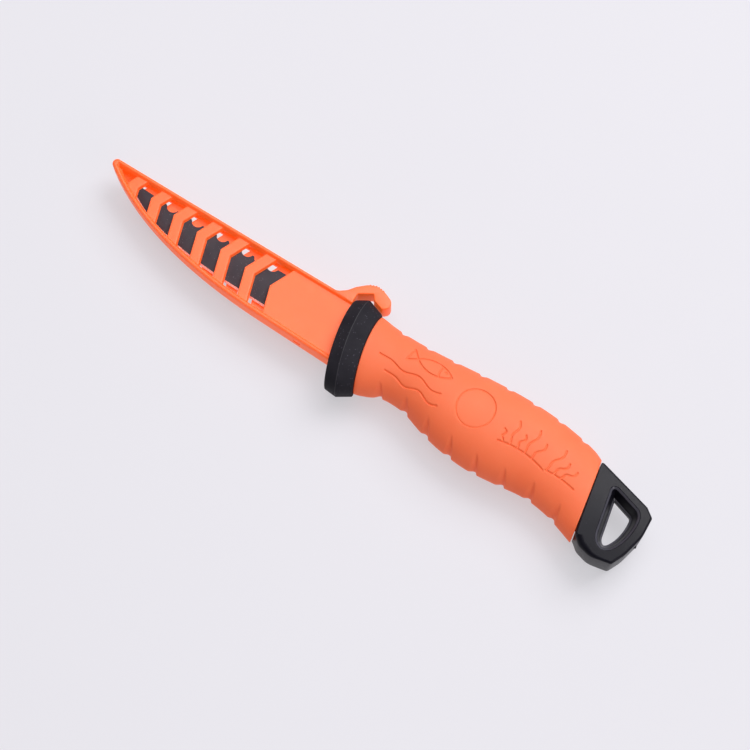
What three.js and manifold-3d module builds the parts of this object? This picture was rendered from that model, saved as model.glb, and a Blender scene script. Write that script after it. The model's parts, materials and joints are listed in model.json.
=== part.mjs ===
// A fixed-blade knife in a slotted clip-on sheath, lying on its side.
// Every shape is drawn in one local frame, in millimetres: x runs from the sheath to the butt and is 0 at
// the guard's front, y points to the knife's spine and is 0 near the spine rim of the sheath, and z is 0 on
// the knife's middle plane. The group then stands the whole object on z = 0, centred on x = y = 0.
import * as THREE from "three";
import { mergeVertices } from "three/addons/utils/BufferGeometryUtils.js";
import Module from "manifold-3d";

const wasm = await Module();
wasm.setup();

// --- driving dimensions -------------------------------------------------------------------------------

const GAP = 0.3; // between pieces that touch on the real object
const LYING_HEIGHT = 12.5; // from the table to the middle plane, half of the handle's thickness
const FAR = 200; // reach of the cutting shapes, past everything

const BLADE_THICKNESS = 2.2;
const TANG_ROOM = BLADE_THICKNESS / 2 + GAP; // half of the slot for blade and tang
const BLADE_TIP = [-101, -2.2];
const BLADE_SPINE_Y = -3.2;
const BLADE_EDGE_Y = -19.6;
const BLADE_HEEL_X = 4;
const SCALER_TEETH = 9; // scallops along the spine
const SCALER_PITCH = 5.83;
const SCALER_LAND = 0.7; // flat between two scallops
const SCALER_START_X = -30.6;
const SCALER_DEPTH = 1.95;
const TANG_END_X = 108;
const TANG_FIT = 0.1; // extra room for the tang in the guard

const HANDLE_SQUARENESS = 2.5; // exponent of the superellipse sections
const HANDLE_START_X = 10.85;
const HANDLE_END_X = 123.2;
const HANDLE_RINGS = 59;
const HANDLE_SEGMENTS = 28;
const GROOVES = 8;
const GROOVE_PITCH = 11.43;
const GROOVE_START_X = 29.9;
const GROOVE_DEPTH = 0.9;
const GROOVE_WIDTH = 4; // to where a groove has almost run out
const NOTCH_START_X = 24.3;
const NOTCH_DEPTH = 0.45;
const CORE_INSET = 4.5; // the hard core lies this deep under the grip's surface
const CORE_START_X = 10.5;
const CORE_END_X = 121.3;
const CORE_RINGS = 14;
const CORE_SEGMENTS = 20;
const RIVET_X = [34, 66, 98];
const RIVET_SHANK_R = 2;
const RIVET_HEAD_R = 3.2;
const RIVET_HEAD_HEIGHT = 1.2;
const RIVET_SINK = 0.6; // the heads stop this far under the core's surface

const GUARD_CREST_TOP = 4.4;
const GUARD_CREST_BOTTOM = -33.9;
const GUARD_CREST_X = 6.7; // at the top of the crest
const GUARD_SWEEP = 0.0053; // how fast the crest sweeps back towards the edge side, per mm
const GUARD_FRONT = -5; // from the crest to the front face
const GUARD_REAR = 7; // from the crest to the rear face
const GUARD_SQUARENESS = 2.6;
const GUARD_SEGMENTS = 36;
// Rings from front to rear: distance from the crest, top, bottom and half of the thickness.
const GUARD_RINGS = [
  [-5.6, 1.6, -33.6, 9.8],
  [-0.8, 4.3, GUARD_CREST_BOTTOM, LYING_HEIGHT],
  [0.8, GUARD_CREST_TOP, -33.7, LYING_HEIGHT],
  [7.6, 1.8, -30.2, 10.9],
];

const CAP_HALF = 8;
const CAP_BEVEL = 2;
const CAP_JOINT_X = 114.4; // on the line y = CAP_JOINT_Y
const CAP_JOINT_Y = -5;
const CAP_JOINT_SLOPE = 0.164;

const SHEATH_HALF = 4.7; // half of the thickness at the mouth
const SHEATH_TAPER = 0.2; // share of the thickness lost at the tip
const SHEATH_LENGTH = 110.4;
const SHEATH_SEAM = 0.2; // each shell stops this far from the middle plane
const SHEATH_PANEL = 3.3; // height of the sunk panel
const SHEATH_CAVITY = 1.8; // half of the slot for the blade
const SHEATH_BEVEL = 1.3;
const MOUTH_GAP = 0.5;
const WINDOWS = 6;
const WINDOW_START_X = -25.4;
const WINDOW_PITCH = 12.85;
const WINDOW_PITCH_LOSS = 0.22; // each window is this much shorter than the one before
const BAR_WIDTH = 4.75;
const BACK_WINDOW_SHIFT = 0.55; // in window pitches, towards the tip
const CHEVRON_UPPER = 0.453;
const CHEVRON_LOWER = 0.322;
const KNEE_Y = -13.27; // of the chevrons' knees, on the line x = 0
const KNEE_FALL = 0.098; // the knees climb this much per mm towards the tip
const WINDOW_TOP = -1.25;
const WINDOW_BOTTOM = -24; // the windows are cut off by the panel above this
const WINDOW_REACH = 3; // and this far over their top
const BEYOND_TIP = [[-115, WINDOW_TOP + WINDOW_REACH], [-115, WINDOW_BOTTOM]];
const DRAIN_X = -9;
const DRAIN_SIZE = [3.2, 1.6]; // along the edge and across it

const LATCH_PIVOT = [-0.2, 4.4];
const LATCH_ROOT_R = 1.3;
const LATCH_OPEN = THREE.MathUtils.degToRad(15); // a little more than it opens
const LATCH_HALF = 4.7;
const LATCH_BEVEL = 0.8;
const LATCH_CLIMB = 0.54; // angle of the arm's underside, in radians
const LATCH_CROWN = new THREE.QuadraticBezierCurve(
  new THREE.Vector2(10.2, 9.5), new THREE.Vector2(6.5, 10.6), new THREE.Vector2(3.2, 9));
const LATCH_RIBS = 6;
const LATCH_RIB_R = 0.45;
const LATCH_ROOM_LENGTH = 20;

const ORANGE_HARD = "#ff8c5c";
const ORANGE_SOFT = "#fb7f57";
const BLACK = "#34343a";
const STEEL_COATED = "#4b4448";
const STEEL_BRIGHT = "#c9c9cc";

// --- solids -------------------------------------------------------------------------------------------

// Merges a closed geometry into a solid that can be cut and joined.
function solid(geometry) {
  geometry.deleteAttribute("normal");
  geometry.deleteAttribute("uv");
  const merged = mergeVertices(geometry, 1e-4);
  const mesh = new wasm.Mesh({
    numProp: 3,
    vertProperties: new Float32Array(merged.attributes.position.array),
    triVerts: new Uint32Array(merged.index.array),
  });
  return new wasm.Manifold(mesh);
}

function geometryOf(manifold) {
  const mesh = manifold.getMesh();
  const geometry = new THREE.BufferGeometry();
  geometry.setAttribute("position", new THREE.BufferAttribute(mesh.vertProperties, 3));
  geometry.setIndex(new THREE.BufferAttribute(mesh.triVerts, 1));
  geometry.computeVertexNormals();
  return geometry;
}

// A flat outline given thickness from z = low to z = high, with its edges bevelled if asked.
function slab(shape, low, high, bevel = 0, curveSegments = 10) {
  const geometry = new THREE.ExtrudeGeometry(shape, {
    depth: high - low - 2 * bevel,
    curveSegments,
    bevelEnabled: bevel > 0,
    bevelThickness: bevel,
    bevelSize: bevel,
    bevelOffset: -bevel,
    bevelSegments: 2,
  });
  geometry.translate(0, 0, low + bevel);
  return solid(geometry);
}

function block(x0, x1, y0, y1, z0, z1) {
  const geometry = new THREE.BoxGeometry(x1 - x0, y1 - y0, z1 - z0);
  geometry.translate((x0 + x1) / 2, (y0 + y1) / 2, (z0 + z1) / 2);
  return solid(geometry);
}

// A round bar along z.
function bar(x, y, radius, low, high) {
  const geometry = new THREE.CylinderGeometry(radius, radius, high - low, 20);
  geometry.rotateX(Math.PI / 2);
  geometry.translate(x, y, (low + high) / 2);
  return solid(geometry);
}

// The heights beyond a given distance from the middle plane. side is 1 for the front and -1 for the back.
const beyond = (side, height) => (side > 0 ? [height, FAR] : [-FAR, -height]);
const layer = (low, high) => block(-FAR, FAR, -FAR, FAR, low, high);

// Bends the unit circle's coordinate into that of a superellipse.
const spread = (value, squareness) => Math.sign(value) * Math.abs(value) ** (2 / squareness);

const polygon = (points) => new THREE.Shape(points.map(([x, y]) => new THREE.Vector2(x, y)));

function named(name, manifold, color, roughness, metalness = 0) {
  const material = new THREE.MeshStandardMaterial({ color, roughness, metalness });
  const mesh = new THREE.Mesh(geometryOf(manifold), material);
  mesh.name = name;
  return mesh;
}

// --- lines that neighbouring pieces share -------------------------------------------------------------

// The guard's crest seen from the side: it sweeps back towards the edge side.
const crestX = (y) => GUARD_CREST_X + GUARD_SWEEP * (GUARD_CREST_TOP - y) ** 2;
const capJointX = (y) => CAP_JOINT_X + CAP_JOINT_SLOPE * (CAP_JOINT_Y - y);

// Everything on the sheath side of a line that runs parallel to the guard's crest.
function aheadOfCrest(offset) {
  const top = 15;
  const bottom = -45;
  const steps = 24;
  const points = [[-FAR, top], [-FAR, bottom]];
  for (let i = 0; i <= steps; i++) {
    const y = THREE.MathUtils.lerp(bottom, top, i / steps);
    points.push([crestX(y) + offset, y]);
  }
  return slab(polygon(points), -FAR, FAR);
}

// Everything on the sheath side of a line parallel to the joint of grip and cap.
function aheadOfCap(offset) {
  const points = [
    [-FAR, -FAR],
    [capJointX(-FAR) + offset, -FAR],
    [capJointX(FAR) + offset, FAR],
    [-FAR, FAR],
  ];
  return slab(polygon(points), -FAR, FAR);
}

// --- handle -------------------------------------------------------------------------------------------

// The grip's outline on its spine side and its edge side, and half of its thickness, at stations along x.
const GRIP_TOP = [
  [8, 1.9], [15, 1.6], [20, 0.9], [27, 0.4], [38, 0.5], [50, 1.3], [62, 2.3],
  [76, 2.9], [90, 2.4], [102, 0.7], [110, -1.2], [114, -3], [124, -8],
];
const GRIP_BOTTOM = [
  [8, -29.5], [20, -29.8], [25, -28.2], [29.5, -26.1], [35, -25.6], [41, -26.3], [50, -29.3],
  [60, -31.6], [72, -32.7], [84, -31.8], [96, -30.6], [106, -31.8], [114, -34.3], [124, -38],
];
const GRIP_HALF = [
  [8, 10.6], [20, 10.4], [33, 10.6], [50, 11.9], [70, 12.8], [85, 12.3], [105, 10.8], [124, 9.8],
];

// A smooth height as a function of x through the given stations.
function smoothLine(stations) {
  const xs = stations.map(([x]) => x);
  const heights = stations.map(([, height]) => height);
  const line = new THREE.CubicInterpolant(xs, heights, 1);
  return (x) => line.evaluate(x)[0];
}

const gripTop = smoothLine(GRIP_TOP);
const gripBottom = smoothLine(GRIP_BOTTOM);
const gripHalf = smoothLine(GRIP_HALF);

// How deep the finger grooves (edge side) and notches (spine side) are at x; side runs from -1 to 1.
function grooveDepth(x, side) {
  const start = side < 0 ? GROOVE_START_X : NOTCH_START_X;
  const depth = side < 0 ? GROOVE_DEPTH : NOTCH_DEPTH;
  const nearest = THREE.MathUtils.clamp(Math.round((x - start) / GROOVE_PITCH), 0, GROOVES - 1);
  const away = (2 * (x - start - nearest * GROOVE_PITCH)) / GROOVE_WIDTH;
  return depth * Math.exp(-away * away) * THREE.MathUtils.smoothstep(Math.abs(side), 0.45, 0.9);
}

// A closed body that follows the handle's sections between two stations, inset from the grip's surface.
function handleBody(from, to, inset, rings, segments, grooved = false) {
  const geometry = new THREE.CylinderGeometry(1, 1, 1, segments, rings);
  const position = geometry.attributes.position;
  for (let i = 0; i < position.count; i++) {
    const side = -position.getX(i);
    const y = spread(side, HANDLE_SQUARENESS);
    const z = spread(position.getZ(i), HANDLE_SQUARENESS);
    const x = from + (to - from) * (position.getY(i) + 0.5);
    const cut = inset + (grooved ? grooveDepth(x, side) : 0);
    const middle = (gripTop(x) + gripBottom(x)) / 2;
    const reach = (gripTop(x) - gripBottom(x)) / 2 - cut;
    position.setXYZ(i, x, middle + reach * y, (gripHalf(x) - inset) * z);
  }
  return solid(geometry);
}

// The hard core's outer shape, widened all round by grow.
const coreBody = (grow) =>
  handleBody(CORE_START_X - grow, CORE_END_X + grow, CORE_INSET - grow, CORE_RINGS, CORE_SEGMENTS);

const rivetY = (x) => (gripTop(x) + gripBottom(x)) / 2;
const rivetEnd = (x) => gripHalf(x) - CORE_INSET - RIVET_SINK; // height of the head's outer face

function gripSleeve() {
  return handleBody(HANDLE_START_X, HANDLE_END_X, 0, HANDLE_RINGS, HANDLE_SEGMENTS, true)
    .intersect(layer(-LYING_HEIGHT, LYING_HEIGHT))
    .intersect(aheadOfCap(-GAP / 2))
    .subtract(aheadOfCrest(GUARD_REAR + GAP / 2))
    .subtract(coreBody(GAP));
}

// One half of the hard core, which clamps the tang. side is 1 for the front half and -1 for the back.
function coreHalf(side) {
  let core = coreBody(0)
    .intersect(layer(...beyond(side, GAP / 2)))
    .subtract(slab(tangOutline(GAP), -TANG_ROOM, TANG_ROOM));
  for (const x of RIVET_X) {
    const seat = rivetEnd(x) - RIVET_HEAD_HEIGHT - GAP;
    core = core.subtract(bar(x, rivetY(x), RIVET_SHANK_R + GAP, -FAR, FAR));
    core = core.subtract(bar(x, rivetY(x), RIVET_HEAD_R + GAP, ...beyond(side, seat)));
  }
  return core;
}

function tangRivet(x) {
  const end = rivetEnd(x);
  const neck = end - RIVET_HEAD_HEIGHT;
  const profile = [
    [0, -end], [RIVET_HEAD_R, -end], [RIVET_HEAD_R, -neck], [RIVET_SHANK_R, -neck],
    [RIVET_SHANK_R, neck], [RIVET_HEAD_R, neck], [RIVET_HEAD_R, end], [0, end],
  ];
  const geometry = new THREE.LatheGeometry(profile.map(([r, h]) => new THREE.Vector2(r, h)), 20);
  geometry.rotateX(Math.PI / 2);
  geometry.translate(x, rivetY(x), 0);
  return solid(geometry);
}

// The guard: a swept ring that rises from its front face to a crest and falls to the grip.
function guardCollar() {
  const last = GUARD_RINGS.length - 1;
  const geometry = new THREE.CylinderGeometry(1, 1, 1, GUARD_SEGMENTS, last);
  const position = geometry.attributes.position;
  for (let i = 0; i < position.count; i++) {
    const [offset, top, bottom, half] = GUARD_RINGS[Math.round((position.getY(i) + 0.5) * last)];
    const middle = (top + bottom) / 2;
    const y = middle + (top - middle) * spread(-position.getX(i), GUARD_SQUARENESS);
    position.setXYZ(i, crestX(y) + offset, y, half * spread(position.getZ(i), GUARD_SQUARENESS));
  }
  const bladeSlot = block(GUARD_FRONT, CORE_START_X, BLADE_EDGE_Y - GAP, BLADE_SPINE_Y + GAP,
    -TANG_ROOM, TANG_ROOM);
  return solid(geometry)
    .subtract(aheadOfCrest(GUARD_FRONT))
    .intersect(aheadOfCrest(GUARD_REAR - GAP / 2))
    .subtract(coreBody(GAP))
    .subtract(slab(tangOutline(GAP + TANG_FIT), -TANG_ROOM, TANG_ROOM))
    .subtract(bladeSlot);
}

function capOutline() {
  const shape = new THREE.Shape();
  shape.moveTo(108, -2.4);
  shape.lineTo(113, -30);
  shape.lineTo(119.3, -35);
  shape.quadraticCurveTo(123.6, -38.3, 127.5, -38.3);
  shape.quadraticCurveTo(131.5, -38.3, 135.2, -37.2);
  shape.quadraticCurveTo(137.3, -36.5, 138, -34.2);
  shape.quadraticCurveTo(141.2, -26, 141.2, -20);
  shape.quadraticCurveTo(141.2, -15.5, 139.2, -13);
  shape.quadraticCurveTo(138.2, -11.8, 136.5, -11.2);
  return shape;
}

function lanyardHole() {
  const shape = new THREE.Shape();
  shape.moveTo(124.9, -12.6);
  shape.quadraticCurveTo(123.7, -12.4, 124, -14);
  shape.lineTo(127.2, -28.4);
  shape.quadraticCurveTo(127.9, -31, 130, -32);
  shape.quadraticCurveTo(132, -32.6, 133.4, -30.6);
  shape.quadraticCurveTo(135.9, -26, 135.9, -19);
  shape.quadraticCurveTo(135.9, -16.4, 134, -15.6);
  return shape;
}

function buttCap() {
  return slab(capOutline(), -CAP_HALF, CAP_HALF, CAP_BEVEL, 6)
    .subtract(aheadOfCap(GAP / 2))
    .subtract(slab(lanyardHole(), -FAR, FAR, 0, 6))
    .subtract(coreBody(GAP));
}

// --- blade --------------------------------------------------------------------------------------------

// The tang inside the handle, widened all round by grow.
function tangOutline(grow) {
  return polygon([
    [BLADE_HEEL_X - 1, -18.5 - grow],
    [TANG_END_X + grow, -21.5 - grow],
    [TANG_END_X + grow, -12 + grow],
    [BLADE_HEEL_X - 1, -5.5 + grow],
  ]);
}

// The blade with its belly, its straight edge and the fish scaler's scallops along the spine.
function bladeOutline() {
  const shape = new THREE.Shape();
  shape.moveTo(...BLADE_TIP);
  shape.bezierCurveTo(-93, -10.9, -75, -17.2, -45, -18.2);
  shape.lineTo(BLADE_HEEL_X, BLADE_EDGE_Y);
  shape.lineTo(BLADE_HEEL_X, BLADE_SPINE_Y);
  const half = (SCALER_PITCH - SCALER_LAND) / 2;
  const radius = (half * half + SCALER_DEPTH * SCALER_DEPTH) / (2 * SCALER_DEPTH);
  const lean = Math.asin(half / radius);
  for (let i = 0; i < SCALER_TEETH; i++) {
    const x = SCALER_START_X - SCALER_PITCH * (i + 0.5);
    const y = BLADE_SPINE_Y + radius - SCALER_DEPTH;
    shape.absarc(x, y, radius, lean - Math.PI / 2, -lean - Math.PI / 2, true);
  }
  return shape;
}

function blade() {
  const half = BLADE_THICKNESS / 2;
  let steel = slab(bladeOutline(), -half, half, 0, 8).add(slab(tangOutline(0), -half, half));
  for (const x of RIVET_X) {
    steel = steel.subtract(bar(x, rivetY(x), RIVET_SHANK_R + GAP, -FAR, FAR));
  }
  return steel;
}

// --- sheath -------------------------------------------------------------------------------------------

function sheathOutline() {
  const shape = new THREE.Shape();
  shape.moveTo(-108.5, 2.25);
  shape.absarc(-108.5, 0.35, 1.9, Math.PI / 2, Math.PI * 1.28);
  shape.bezierCurveTo(-94.5, -12.2, -69, -21.5, -30, -23.4);
  shape.lineTo(9, -24.9);
  shape.lineTo(4, 3);
  shape.lineTo(0.4, 3);
  shape.lineTo(-0.5, 6.1);
  shape.lineTo(-4, 2.4);
  shape.quadraticCurveTo(-5.4, 0.95, -7.5, 0.98);
  return shape;
}

// The sunk panel inside the rim.
function panelOutline() {
  const shape = new THREE.Shape();
  shape.moveTo(-106.4, -0.1);
  shape.bezierCurveTo(-93, -10.4, -69.5, -18.8, -30, -20.9);
  shape.lineTo(8, -22.4);
  shape.lineTo(8, -1.4);
  return shape;
}

// The room for the blade, open at the mouth.
function cavityOutline() {
  const shape = new THREE.Shape();
  shape.moveTo(-103.5, -0.6);
  shape.bezierCurveTo(-94.5, -11.6, -75, -18.4, -44, -19.4);
  shape.lineTo(12, -21);
  shape.lineTo(12, -1.6);
  return shape;
}

const windowX = (i) => WINDOW_START_X - WINDOW_PITCH * i + (WINDOW_PITCH_LOSS * i * (i - 1)) / 2;

// The three corners of a chevron edge whose upper end is at x.
function chevronEdge(x) {
  const kneeY = KNEE_Y - KNEE_FALL * x;
  const kneeX = x - CHEVRON_UPPER * (WINDOW_TOP - kneeY);
  return [
    [x + CHEVRON_UPPER * WINDOW_REACH, WINDOW_TOP + WINDOW_REACH],
    [kneeX, kneeY],
    [kneeX + CHEVRON_LOWER * (kneeY - WINDOW_BOTTOM), WINDOW_BOTTOM],
  ];
}

// The chevron windows of one shell, cut out of the panel only.
function windows(shift) {
  const panel = slab(panelOutline(), -FAR, FAR);
  let holes = null;
  for (let i = 0; i <= WINDOWS; i++) {
    const move = shift * WINDOW_PITCH;
    const right = chevronEdge(windowX(i) - move);
    const left = i < WINDOWS ? chevronEdge(windowX(i + 1) + BAR_WIDTH - move) : BEYOND_TIP;
    const hole = slab(polygon([...left, ...right.reverse()]), -FAR, FAR);
    holes = holes ? holes.add(hole) : hole;
  }
  return holes.intersect(panel);
}

// Where the latch may swing, so that the shells keep clear of it.
function latchRoom() {
  const radius = LATCH_ROOT_R + GAP;
  let room = bar(...LATCH_PIVOT, radius, -FAR, FAR);
  for (const swing of [0, LATCH_OPEN / 2, LATCH_OPEN]) {
    const geometry = new THREE.BoxGeometry(LATCH_ROOM_LENGTH, 2 * radius, FAR);
    geometry.translate(LATCH_ROOM_LENGTH / 2, 0, 0);
    geometry.rotateZ(LATCH_CLIMB + swing);
    geometry.translate(...LATCH_PIVOT, 0);
    room = room.add(solid(geometry));
  }
  return room;
}

// Thins the sheath from its mouth to its tip.
function taperToTip(mesh) {
  const position = mesh.geometry.attributes.position;
  for (let i = 0; i < position.count; i++) {
    const share = THREE.MathUtils.clamp(-position.getX(i) / SHEATH_LENGTH, 0, 1);
    position.setZ(i, position.getZ(i) * (1 - SHEATH_TAPER * share));
  }
  mesh.geometry.computeVertexNormals();
  return mesh;
}

// One shell of the sheath. side is 1 for the front shell and -1 for the back.
function sheathShell(side) {
  const [drainLength, drainWidth] = DRAIN_SIZE;
  const drain = block(DRAIN_X - drainLength / 2, DRAIN_X + drainLength / 2,
    -FAR, BLADE_EDGE_Y, -drainWidth / 2, drainWidth / 2);
  return slab(sheathOutline(), -SHEATH_HALF, SHEATH_HALF, SHEATH_BEVEL)
    .intersect(layer(...beyond(side, SHEATH_SEAM)))
    .intersect(aheadOfCrest(GUARD_FRONT - MOUTH_GAP))
    .subtract(slab(panelOutline(), ...beyond(side, SHEATH_PANEL)))
    .subtract(slab(cavityOutline(), -SHEATH_CAVITY, SHEATH_CAVITY))
    .subtract(windows(side > 0 ? 0 : BACK_WINDOW_SHIFT))
    .subtract(drain)
    .subtract(latchRoom());
}

function latchOutline() {
  const quarter = Math.PI / 2;
  const shape = new THREE.Shape();
  shape.absarc(...LATCH_PIVOT, LATCH_ROOT_R, LATCH_CLIMB + quarter, LATCH_CLIMB + 3 * quarter);
  shape.lineTo(6.4, 6.84);
  shape.lineTo(8.6, 5.2);
  shape.lineTo(12.3, 3.85);
  shape.quadraticCurveTo(14.1, 3.7, 14.6, 5.5);
  shape.quadraticCurveTo(14.5, 8.6, LATCH_CROWN.v0.x, LATCH_CROWN.v0.y);
  shape.quadraticCurveTo(LATCH_CROWN.v1.x, LATCH_CROWN.v1.y, LATCH_CROWN.v2.x, LATCH_CROWN.v2.y);
  return shape;
}

// The latch with small thumb ribs along its crown.
function latchArm() {
  let arm = slab(latchOutline(), -LATCH_HALF, LATCH_HALF, LATCH_BEVEL, 6);
  for (let i = 0; i < LATCH_RIBS; i++) {
    const { x, y } = LATCH_CROWN.getPoint(1 - (i + 0.5) / LATCH_RIBS);
    arm = arm.add(bar(x, y - 0.1, LATCH_RIB_R, LATCH_BEVEL - LATCH_HALF, LATCH_HALF - LATCH_BEVEL));
  }
  return arm;
}

// --- the object ---------------------------------------------------------------------------------------

const knife = new THREE.Group();
knife.add(named("blade", blade(), STEEL_COATED, 0.55, 0.6));
knife.add(named("handle_core_front", coreHalf(1), BLACK, 0.6));
knife.add(named("handle_core_back", coreHalf(-1), BLACK, 0.6));
RIVET_X.forEach((x, i) => knife.add(named(`tang_rivet_${i + 1}`, tangRivet(x), STEEL_BRIGHT, 0.3, 1)));
knife.add(named("guard_collar", guardCollar(), BLACK, 0.75));
knife.add(named("grip_sleeve", gripSleeve(), ORANGE_SOFT, 0.7));
knife.add(named("butt_cap", buttCap(), BLACK, 0.45));

const sheath = new THREE.Group();
sheath.add(taperToTip(named("sheath_front_shell", sheathShell(1), ORANGE_HARD, 0.4)));
sheath.add(taperToTip(named("sheath_back_shell", sheathShell(-1), ORANGE_HARD, 0.4)));
sheath.add(named("latch_arm", latchArm(), ORANGE_HARD, 0.4));

const object = new THREE.Group();
object.add(knife, sheath);
const middle = new THREE.Box3().setFromObject(object).getCenter(new THREE.Vector3());
object.position.set(-middle.x, -middle.y, LYING_HEIGHT);

export default object;
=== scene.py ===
"""A fixed-blade fishing knife in its slotted sheath, lying on a pale table.

Every shape is worked out in the knife's own millimetres: x runs from the sheath to the butt and is 0 just
before the guard, y points to the spine, and z is 0 on the middle plane. KNIFE_ORIGIN puts them in the row
frame.
"""
import json
import math

import bmesh
import bpy
import numpy as np
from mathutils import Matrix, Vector


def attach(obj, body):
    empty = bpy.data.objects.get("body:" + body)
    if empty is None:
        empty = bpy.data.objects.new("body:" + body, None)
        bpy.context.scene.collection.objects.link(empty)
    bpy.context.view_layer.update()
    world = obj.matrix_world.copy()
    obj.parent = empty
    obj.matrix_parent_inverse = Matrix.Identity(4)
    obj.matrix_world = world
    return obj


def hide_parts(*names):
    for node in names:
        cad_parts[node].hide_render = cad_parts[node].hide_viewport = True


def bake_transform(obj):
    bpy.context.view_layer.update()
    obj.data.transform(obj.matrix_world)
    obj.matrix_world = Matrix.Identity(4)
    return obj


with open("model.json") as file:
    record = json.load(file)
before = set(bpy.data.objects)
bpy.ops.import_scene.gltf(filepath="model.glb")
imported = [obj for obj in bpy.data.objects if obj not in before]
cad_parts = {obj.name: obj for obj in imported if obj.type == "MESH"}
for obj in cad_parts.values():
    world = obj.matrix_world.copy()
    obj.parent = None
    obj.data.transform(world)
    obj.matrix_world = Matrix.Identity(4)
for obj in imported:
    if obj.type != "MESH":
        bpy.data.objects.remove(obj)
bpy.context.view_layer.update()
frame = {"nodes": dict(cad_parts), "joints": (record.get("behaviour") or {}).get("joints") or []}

LATCH_PIVOT = np.array([-0.2, 4.4, 0])
HINGE = next(joint for joint in frame["joints"] if joint["name"] == "latch_flex")
KNIFE_ORIGIN = np.array(HINGE["pos_m"]) * 1000 - LATCH_PIVOT

# --- dimensions in millimetres ------------------------------------------------------------------------

CREST_TOP = 4.4
CREST_BOTTOM = -34.1
CREST_HALF = 12.5
CREST_X = 6.7
CREST_SWEEP = 0.0053
CREST_ROUND = 0.2
CREST_HIGHLIGHT_HALF = 0.1  # half the width of the painted highlight line along the crest
GUARD_FRONT = -5  # from the crest
GUARD_REAR = 7  # from the crest
GUARD_ROUND = 0.5
GUARD_SQUARENESS = 2.6
MOUTH_FRONT = -5.5  # where the sheath ends, from the crest

CAP_HALF = 8
CAP_JOINT = (114.4, -5, 0.164)  # x, y and slope of the joint between grip and cap
CAP_BEVEL = 1.0
CAP_BEVEL_GAIN = 1.6  # how much wider the bevel gets beside the grip's edge side
CAP_JOINT_BEVEL = 0.3
CAP_STEP = 0.7
JOINT_GAP = 0.05

GROOVE_PITCH = 11.43
GROOVE_START = 29.9
GROOVE_DEPTH = 1.0
NOTCHES = 8
NOTCH_START = 24.3
NOTCH_DEPTH = 0.6
DISC = (64.1, -13.3, 7.7, 8.05)  # centre and half sizes of the sunk disc
DISC_DEPTH = 0.32
RING_DEPTH = 0.3
CARVING_DEPTH = 0.6
CARVING_REACH = 1.5  # how far from a carved line its distance still matters
FINE_REACH = 0.75  # how near a carved line or the disc's edge the grip's net is finer
FACE_CUT = 0.35  # the share of a groove's depth by which it also thins the grip

SHEATH_HALF = 4.7
SHEATH_LENGTH = 110.4
SHEATH_TAPER = 0.2
PANEL_TOP = 3.3
PANEL_UNDER = 1.4
WINDOWS = 6
WINDOW_START = -25.4
WINDOW_PITCH = 12.85
WINDOW_LOSS = 0.22
BAR_WIDTH = 4.75
BACK_SHIFT = 0.515
BACK_BAR_WIDTH = 5.3
BACK_LEDGE = 0.5
CHEVRON = (0.453, 0.322)  # lean above and below the knee
CHEVRON_TOP = -1.25
KNEE = (-13.27, 0.098)  # height at x = 0, and how fast it rises towards the tip
TIP_CENTRE = (-108.5, 0.35)
TIP_RADIUS = 1.9
PANEL_CORNER = (-106.4, -0.1)  # where the rim's two inner lines meet at the tip
CORNER_RADIUS = 0.5
ROOF_END = (1.2, -1.33)  # where the inner line on the spine side meets the mouth
FLOOR_END = (-30, -20.9)  # where the inner line on the edge side turns straight
FLOOR_CURVE = (PANEL_CORNER, (-93, -10.4), (-69.5, -18.8), FLOOR_END)
SILL_RUN = 38  # the length of its straight stretch
HEEL_START = (-30, -23.4)  # where the outer line on the edge side turns straight
HEEL_RUN = 39
HEEL_FALL = 1.5  # how far both drop along their straight stretch
DRAIN_X = -9
DRAIN_HALF = 1.6
DRAIN_HEIGHT = 0.85  # half the height of the drain slot

BLADE_HALF = 1.1
BLADE_TIP = (-101, -2.2)
BELLY_END = (-45, -18.2)
HEEL = (5, -19.63)
SPINE_Y = -3.2
LIP_WIDTH = 0.2  # the small bevels along the spine
LIP_DEPTH = 0.15
FLAT_SHARE = 0.45  # how far down the flank the blade stays at its full thickness
THINNING = 0.6
GRIND_WIDTH = 0.75
GRIND_HALF = 0.48
EDGE_HALF = 0.02
SCALLOPS = 9
SCALLOP_PITCH = 5.83
SCALLOP_START = -30.6
SCALLOP_HALF = 2.56
SCALLOP_DEPTH = 1.95


# --- curves -------------------------------------------------------------------------------------------

def line_through(stations):
    """A smooth height as a function of x through (x, height) stations."""
    xs, ys = np.array(stations, float).T
    steps = np.diff(ys) / np.diff(xs)
    slopes = np.concatenate([steps[:1], (ys[2:] - ys[:-2]) / (xs[2:] - xs[:-2]), steps[-1:]])

    def at(x):
        i = np.clip(np.searchsorted(xs, x) - 1, 0, len(xs) - 2)
        span = xs[i + 1] - xs[i]
        t = (x - xs[i]) / span
        near = (1 + 2 * t) * (1 - t) ** 2 * ys[i] + t * (1 - t) ** 2 * span * slopes[i]
        far = t * t * (3 - 2 * t) * ys[i + 1] + t * t * (t - 1) * span * slopes[i + 1]
        return near + far

    return at


def bezier(a, b, c, d, count):
    """Points along a cubic curve from a to d, with b and c as its controls."""
    t = np.linspace(0, 1, count)[:, None]
    a, b, c, d = (np.array(p, float) for p in (a, b, c, d))
    return (1 - t) ** 3 * a + 3 * t * (1 - t) ** 2 * b + 3 * t * t * (1 - t) * c + t ** 3 * d


def straight(a, b, count):
    t = np.linspace(0, 1, count)[:, None]
    return (1 - t) * np.array(a, float) + t * np.array(b, float)


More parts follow.
